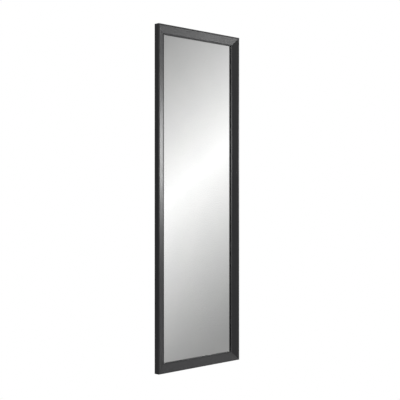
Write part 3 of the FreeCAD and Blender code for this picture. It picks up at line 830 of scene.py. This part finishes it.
def studioWorld():
    # plain white to the eye, even soft light on the object, and soft slanting bands in reflections
    world = bpy.data.worlds.new("studio")
    bpy.context.scene.world = world
    world.use_nodes = True
    tree = world.node_tree
    tree.nodes.clear()
    toward = addNode(tree, "ShaderNodeSeparateXYZ",
                     {"Vector": addNode(tree, "ShaderNodeTexCoord").outputs["Generated"]})
    rise = addNode(tree, "ShaderNodeMath", {0: toward.outputs["Z"]}, operation="ARCSINE")
    heading = addNode(tree, "ShaderNodeMath", {0: toward.outputs["Y"], 1: toward.outputs["X"]},
                      operation="ARCTAN2")
    period = 2 * math.pi * studio["bandTilt"] / studio["bandPeriods"]
    offset = addNode(tree, "ShaderNodeMath", {0: heading.outputs[0],
                                              1: math.radians(studio["bandHeading"])},
                     operation="SUBTRACT")
    climb = addNode(tree, "ShaderNodeMath", {0: offset.outputs[0], 1: studio["bandTilt"]},
                    operation="MULTIPLY")
    above = addNode(tree, "ShaderNodeMath", {0: rise.outputs[0], 1: climb.outputs[0]},
                    operation="SUBTRACT")
    wave = addNode(tree, "ShaderNodeMath", {0: above.outputs[0], 1: period / 2},
                   operation="PINGPONG")
    near = addNode(tree, "ShaderNodeMapRange", {
        "Value": wave.outputs[0], "From Max": period / 2, "To Min": 1.0, "To Max": 0.0})
    share = addNode(tree, "ShaderNodeMath", {0: near.outputs["Result"], 1: studio["bandFall"]},
                    operation="POWER")
    level = addNode(tree, "ShaderNodeMapRange", {
        "Value": share.outputs[0], "To Min": studio["bandFoot"], "To Max": studio["bandTop"]})
    rays = addNode(tree, "ShaderNodeLightPath").outputs
    mirrored = addNode(tree, "ShaderNodeMath", {0: rays["Is Glossy Ray"],
                                                1: rays["Is Transmission Ray"]},
                       operation="MAXIMUM")
    seen = addNode(tree, "ShaderNodeMix", {0: mirrored.outputs[0], 2: studio["daylight"],
                                           3: level.outputs["Result"]}, data_type="FLOAT")
    strength = addNode(tree, "ShaderNodeMix", {0: rays["Is Camera Ray"], 2: seen.outputs[0],
                                               3: 1.0}, data_type="FLOAT")
    light = addNode(tree, "ShaderNodeBackground", {"Color": linearColour("#ffffff"),
                                                   "Strength": strength.outputs[0]})
    output = addNode(tree, "ShaderNodeOutputWorld")
    tree.links.new(light.outputs[0], output.inputs["Surface"])


def studioFloor():
    # a pale disc under the object that fades into the white around it
    radius = studio["floorRadius"]
    solid = bmesh.new()
    bmesh.ops.create_circle(solid, cap_ends=True, segments=studio["floorSides"], radius=radius)
    mesh = bpy.data.meshes.new("floor")
    solid.to_mesh(mesh)
    solid.free()
    mesh.transform(Matrix.Translation((0, 0, studio["floorLevel"])))
    material = bpy.data.materials.new("paleFloor")
    material.use_nodes = True
    tree = material.node_tree
    tree.nodes.clear()
    here = addNode(tree, "ShaderNodeSeparateXYZ",
                   {"Vector": addNode(tree, "ShaderNodeTexCoord").outputs["Object"]})
    flat = addNode(tree, "ShaderNodeCombineXYZ", {"X": here.outputs["X"], "Y": here.outputs["Y"]})
    out = addNode(tree, "ShaderNodeVectorMath", {0: flat.outputs["Vector"]}, operation="LENGTH")
    fade = addNode(tree, "ShaderNodeMapRange", {
        "Value": out.outputs["Value"], "From Min": studio["floorFadeFrom"], "From Max": radius},
        interpolation_type="SMOOTHSTEP")
    paper = addNode(tree, "ShaderNodeBsdfDiffuse", {"Color": linearColour(studio["floorColour"])})
    clear = addNode(tree, "ShaderNodeBsdfTransparent")
    mixed = addNode(tree, "ShaderNodeMixShader", {0: fade.outputs["Result"], 1: paper.outputs[0],
                                                  2: clear.outputs[0]})
    output = addNode(tree, "ShaderNodeOutputMaterial")
    tree.links.new(mixed.outputs[0], output.inputs["Surface"])
    mesh.materials.append(material)
    newPiece("floor", mesh)


# soft panels, and a dark flag, that satin and metal reflect: metres, and degrees as seen from the
# object's middle, rise counted upwards and heading from +X towards +Y
panelFadeFrom = 0.15  # a panel's light fades from here, a share of its side, to its edges
panels = {
    "sidePanel": {"heading": -6.5, "rise": 4.3, "distance": 5.8, "size": (2.1, 1.15),
                  "level": 21.0},
    "frontPanel": {"heading": -45.8, "rise": 4.8, "distance": 6.0, "size": (3.2, 1.3),
                   "level": 10.0},
    "lowPanel": {"heading": -34.5, "rise": -24.3, "distance": 12.4, "size": (3.4, 3.0),
                 "level": 21.2},
    "highPanel": {"heading": -40.0, "rise": 22.0, "distance": 6.0, "size": (2.6, 1.6),
                  "level": 2.2},
    "darkFlag": {"heading": 140.7, "rise": 0.0, "distance": 1.64, "size": (2.4, 3.4),
                 "level": 0.25},
}


def softPanels():
    for name, panel in panels.items():
        mesh = bpy.data.meshes.new(name)
        corners = [(-0.5, -0.5, 0), (0.5, -0.5, 0), (0.5, 0.5, 0), (-0.5, 0.5, 0)]
        mesh.from_pydata(corners, [], [(0, 1, 2, 3)])
        material = bpy.data.materials.new(name)
        material.use_nodes = True
        tree = material.node_tree
        tree.nodes.clear()
        here = addNode(tree, "ShaderNodeSeparateXYZ",
                       {"Vector": addNode(tree, "ShaderNodeTexCoord").outputs["Object"]})
        fades = []
        for side in ("X", "Y"):
            out = addNode(tree, "ShaderNodeMath", {0: here.outputs[side]}, operation="ABSOLUTE")
            fades.append(addNode(tree, "ShaderNodeMapRange", {
                "Value": out.outputs[0], "From Min": 0.5, "From Max": panelFadeFrom},
                interpolation_type="SMOOTHSTEP").outputs["Result"])
        both = addNode(tree, "ShaderNodeMath", {0: fades[0], 1: fades[1]}, operation="MULTIPLY")
        # neither a mirror's sharp rays nor those that came through the glass meet a panel
        rays = addNode(tree, "ShaderNodeLightPath").outputs
        passed = addNode(tree, "ShaderNodeMath", {0: rays["Is Singular Ray"],
                                                  1: rays["Transmission Depth"]}, operation="ADD")
        met = addNode(tree, "ShaderNodeMath", {0: 1.0, 1: passed.outputs[0]},
                      operation="SUBTRACT", use_clamp=True)
        both = addNode(tree, "ShaderNodeMath", {0: both.outputs[0], 1: met.outputs[0]},
                       operation="MULTIPLY")
        clear = addNode(tree, "ShaderNodeBsdfTransparent")
        glow = addNode(tree, "ShaderNodeEmission", {"Strength": panel["level"]})
        mixed = addNode(tree, "ShaderNodeMixShader", {0: both.outputs[0], 1: clear.outputs[0],
                                                      2: glow.outputs[0]})
        output = addNode(tree, "ShaderNodeOutputMaterial")
        tree.links.new(mixed.outputs[0], output.inputs["Surface"])
        mesh.materials.append(material)
        piece = newPiece(name, mesh)
        heading, rise = math.radians(panel["heading"]), math.radians(panel["rise"])
        outward = Vector((math.cos(rise) * math.cos(heading), math.cos(rise) * math.sin(heading),
                          math.sin(rise)))
        piece.location = outward * panel["distance"]
        piece.rotation_mode = "QUATERNION"
        piece.rotation_quaternion = (-outward).to_track_quat("Z", "Y")
        piece.scale = (*panel["size"], 1)
        piece.visible_camera = piece.visible_diffuse = piece.visible_shadow = False


lamp = {"place": (-1.6, -3.0, 2.4), "faces": (0, 0, 0), "size": 2.2, "watts": 55}  # metres


def keyLamp():
    data = bpy.data.lights.new("keyLamp", "AREA")
    data.size = lamp["size"]
    data.energy = lamp["watts"]
    piece = newPiece("keyLamp", data)
    piece.location = lamp["place"]
    piece.rotation_mode = "QUATERNION"
    toward = Vector(lamp["faces"]) - Vector(lamp["place"])
    piece.rotation_quaternion = toward.to_track_quat("-Z", "Y")
    piece.visible_camera = False


camera = {  # where the view is taken from, in metres and in pixels of a frame pictureSize wide
    "place": (-2.2007, -2.2761, 0.0031),
    "toward": (0.69727, 0.71674, 0.0),
    "focalPixels": 873.2,
    "horizonPixel": 197.95,
    "pictureSize": 400,
    "sensorWidth": 36.0,
    "nearest": 0.05,
    "farthest": 50.0,
}


def studioCamera():
    size = camera["pictureSize"]
    data = bpy.data.cameras.new("camera")
    data.sensor_width = camera["sensorWidth"]
    data.lens = camera["focalPixels"] / size * camera["sensorWidth"]
    data.shift_y = (camera["horizonPixel"] - size / 2) / size
    data.clip_start, data.clip_end = camera["nearest"], camera["farthest"]
    piece = newPiece("camera", data)
    piece.location = camera["place"]
    piece.rotation_mode = "QUATERNION"
    piece.rotation_quaternion = Vector(camera["toward"]).to_track_quat("-Z", "Y")
    bpy.context.scene.camera = piece


studioWorld()
studioFloor()
softPanels()
keyLamp()
studioCamera()
bpy.context.scene.view_settings.view_transform = "Standard"
print("studio set")
